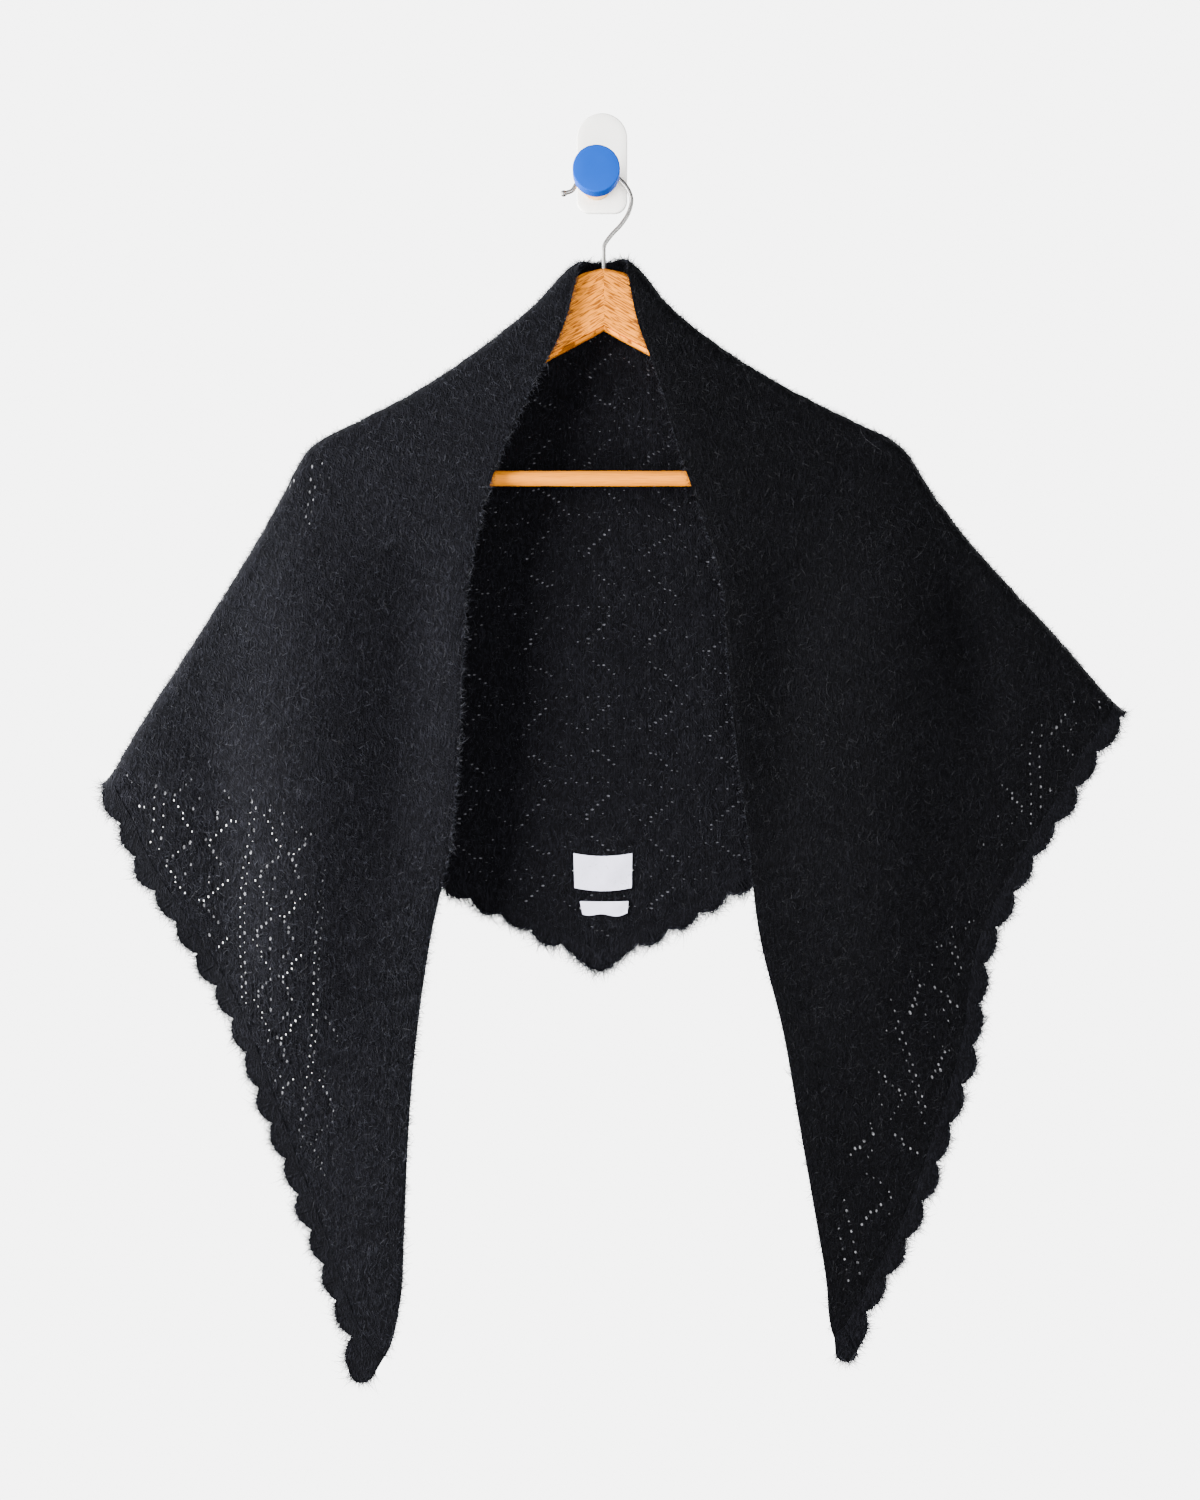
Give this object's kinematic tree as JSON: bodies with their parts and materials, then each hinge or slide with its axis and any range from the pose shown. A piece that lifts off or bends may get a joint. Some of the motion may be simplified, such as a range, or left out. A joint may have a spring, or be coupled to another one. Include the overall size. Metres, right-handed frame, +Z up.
{
  "type": "knit shawl on a wooden hanger, with its wall hook",
  "caption": "Black fuzzy lace-knit triangular shawl with a scalloped crochet edging, draped open over a wooden hanger on a round wall knob.",
  "frame": {"origin": "middle of the back face of the wall plate, where it meets the wall", "axes": "+Z up, +Y into the wall, -Y towards the viewer, +X to the viewer's right"},
  "size_m": [0.7499, 0.0516, 0.943],
  "materials": {
    "shawl_knit": "fuzzy wool and alpaca lace knit, black, soft halo of fibres",
    "crochet_edging": "crocheted wool scallops, black, fuzzy",
    "label_cloth": "woven satin tape, blank, lavender white",
    "hanger_wood": "satin varnish, warm tan with dark grain pores",
    "bar_wood": "plain turned wood, pale",
    "hook_steel": "polished",
    "plate_white": "matte off-white",
    "knob_blue": "matte blue paint"
  },
  "bodies": {
    "root": {"back": "shawl_knit", "front_left": "shawl_knit", "front_right": "shawl_knit", "back_edging": "crochet_edging", "front_left_edging": "crochet_edging", "front_right_edging": "crochet_edging", "label_large": "label_cloth", "label_small": "label_cloth", "hanger_arm_left": "hanger_wood", "hanger_arm_right": "hanger_wood", "hanger_bar": "bar_wood", "hanger_hook": "hook_steel", "wall_plate": "plate_white", "knob_stem": "bar_wood", "knob_disc": "knob_blue"}
  },
  "joints": []
}
